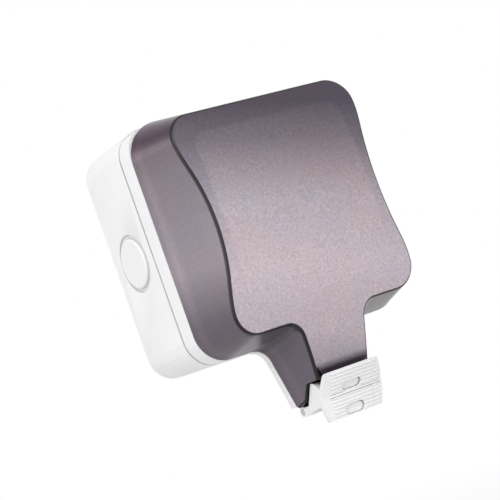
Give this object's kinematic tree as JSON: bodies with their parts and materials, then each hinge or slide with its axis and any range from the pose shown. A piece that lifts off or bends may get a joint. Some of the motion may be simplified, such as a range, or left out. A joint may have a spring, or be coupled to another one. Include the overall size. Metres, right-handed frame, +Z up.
{
  "type": "outdoor network socket box",
  "caption": "Weatherproof wall box with a smoked hinged cover and a front latch over two shuttered network sockets.",
  "frame": {"origin": "centre of the box's wall face", "axes": "+X right as seen from the front, +Z up, the front looks along -Y and +Y points into the wall"},
  "size_m": [0.0978, 0.0713, 0.1328],
  "materials": {
    "white_shell": "fine satin moulded",
    "latch_white": "satin moulded",
    "smoked_cover": "fine frosted, see-through smoked",
    "black_rubber": "matt",
    "steel": "plated",
    "module_white": "smooth moulded",
    "shutter_grey": "satin",
    "jack_black": "satin",
    "gold_contact": "gold plated",
    "cap_white": "satin"
  },
  "bodies": {
    "housing": {"back_box": "white_shell", "box_gasket": "black_rubber", "front_plate": "white_shell", "cover_seal": "black_rubber", "hinge_pin_left": "steel", "hinge_pin_right": "steel", "latch_pin": "steel", "plate_screws": "steel", "module_frame": "module_white", "frame_screws": "steel", "module_housing_left": "module_white", "shutter_spring_left": "steel", "jack_body_left": "jack_black", "jack_contacts_left": "gold_contact", "terminal_cap_left": "cap_white", "module_housing_right": "module_white", "shutter_spring_right": "steel", "jack_body_right": "jack_black", "jack_contacts_right": "gold_contact", "terminal_cap_right": "cap_white"},
    "cover_body": {"cover": "smoked_cover"},
    "latch_body": {"latch": "latch_white"},
    "shutter_left_body": {"port_shutter_left": "shutter_grey"},
    "shutter_right_body": {"port_shutter_right": "shutter_grey"}
  },
  "joints": [
    {"name": "cover_hinge", "type": "hinge", "parent": "housing", "child": "cover_body", "pos_m": [0, -0.041, 0.046], "axis": [-1, 0, 0], "range_deg": [0, 105]},
    {"name": "latch_hinge", "type": "hinge", "parent": "housing", "child": "latch_body", "pos_m": [0, -0.0424, -0.0769], "axis": [1, 0, 0], "range_deg": [0, 75]},
    {"name": "shutter_left_slide", "type": "slide", "parent": "housing", "child": "shutter_left_body", "axis": [0, 0, 1], "range_m": [0, 0.011], "stiffness_N_per_m": 8, "springref_m": -0.004, "deforming": ["shutter_spring_left"]},
    {"name": "shutter_right_slide", "type": "slide", "parent": "housing", "child": "shutter_right_body", "axis": [0, 0, 1], "range_m": [0, 0.011], "stiffness_N_per_m": 8, "springref_m": -0.004, "deforming": ["shutter_spring_right"]}
  ]
}
